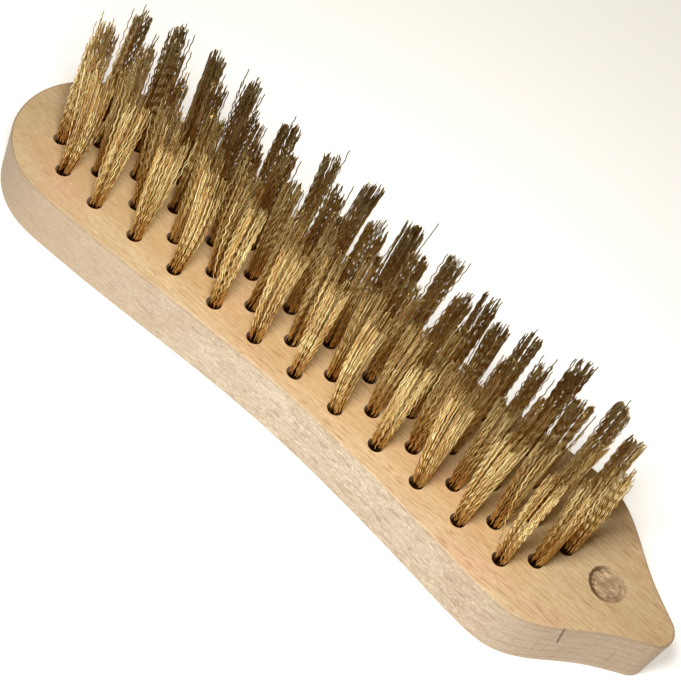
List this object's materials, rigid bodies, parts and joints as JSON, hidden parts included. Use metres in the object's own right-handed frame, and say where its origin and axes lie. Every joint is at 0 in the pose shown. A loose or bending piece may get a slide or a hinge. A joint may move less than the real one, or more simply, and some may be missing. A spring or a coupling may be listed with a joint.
{
  "type": "wire brush",
  "caption": "Hand wire brush: shaped beech block with a round blunt end, waisted sides and a narrow nose, planted with staggered rows of crimped brass wire tufts.",
  "frame": {"origin": "centre of the block's flat back, midway along its length", "axes": "+X along the block from the blunt end to the nose, +Y across the block, +Z out of the back through the face, along the wires"},
  "size_m": [0.256, 0.0642, 0.0606],
  "materials": {
    "beech": "matte",
    "wire": "satin",
    "anchor": "satin"
  },
  "bodies": {
    "root": {"beech_block": "beech", "tufts_rank_01": "wire", "tufts_rank_02": "wire", "tufts_rank_03": "wire", "tufts_rank_04": "wire", "tufts_rank_05": "wire", "tufts_rank_06": "wire", "tufts_rank_07": "wire", "tufts_rank_08": "wire", "tufts_rank_09": "wire", "tufts_rank_10": "wire", "tufts_rank_11": "wire", "tufts_rank_12": "wire", "tufts_rank_13": "wire", "tufts_rank_14": "wire", "tufts_rank_15": "wire", "tufts_rank_16": "wire", "tufts_rank_17": "wire", "tufts_rank_18": "wire", "tufts_rank_19": "wire", "tufts_rank_20": "wire", "tufts_rank_21": "wire", "tufts_rank_22": "wire", "tufts_rank_23": "wire", "tufts_rank_24": "wire", "tufts_rank_25": "wire", "tufts_rank_26": "wire", "anchors_rank_01": "anchor", "anchors_rank_02": "anchor", "anchors_rank_03": "anchor", "anchors_rank_04": "anchor", "anchors_rank_05": "anchor", "anchors_rank_06": "anchor", "anchors_rank_07": "anchor", "anchors_rank_08": "anchor", "anchors_rank_09": "anchor", "anchors_rank_10": "anchor", "anchors_rank_11": "anchor", "anchors_rank_12": "anchor", "anchors_rank_13": "anchor", "anchors_rank_14": "anchor", "anchors_rank_15": "anchor", "anchors_rank_16": "anchor", "anchors_rank_17": "anchor", "anchors_rank_18": "anchor", "anchors_rank_19": "anchor", "anchors_rank_20": "anchor", "anchors_rank_21": "anchor", "anchors_rank_22": "anchor", "anchors_rank_23": "anchor", "anchors_rank_24": "anchor", "anchors_rank_25": "anchor", "anchors_rank_26": "anchor"}
  },
  "joints": []
}
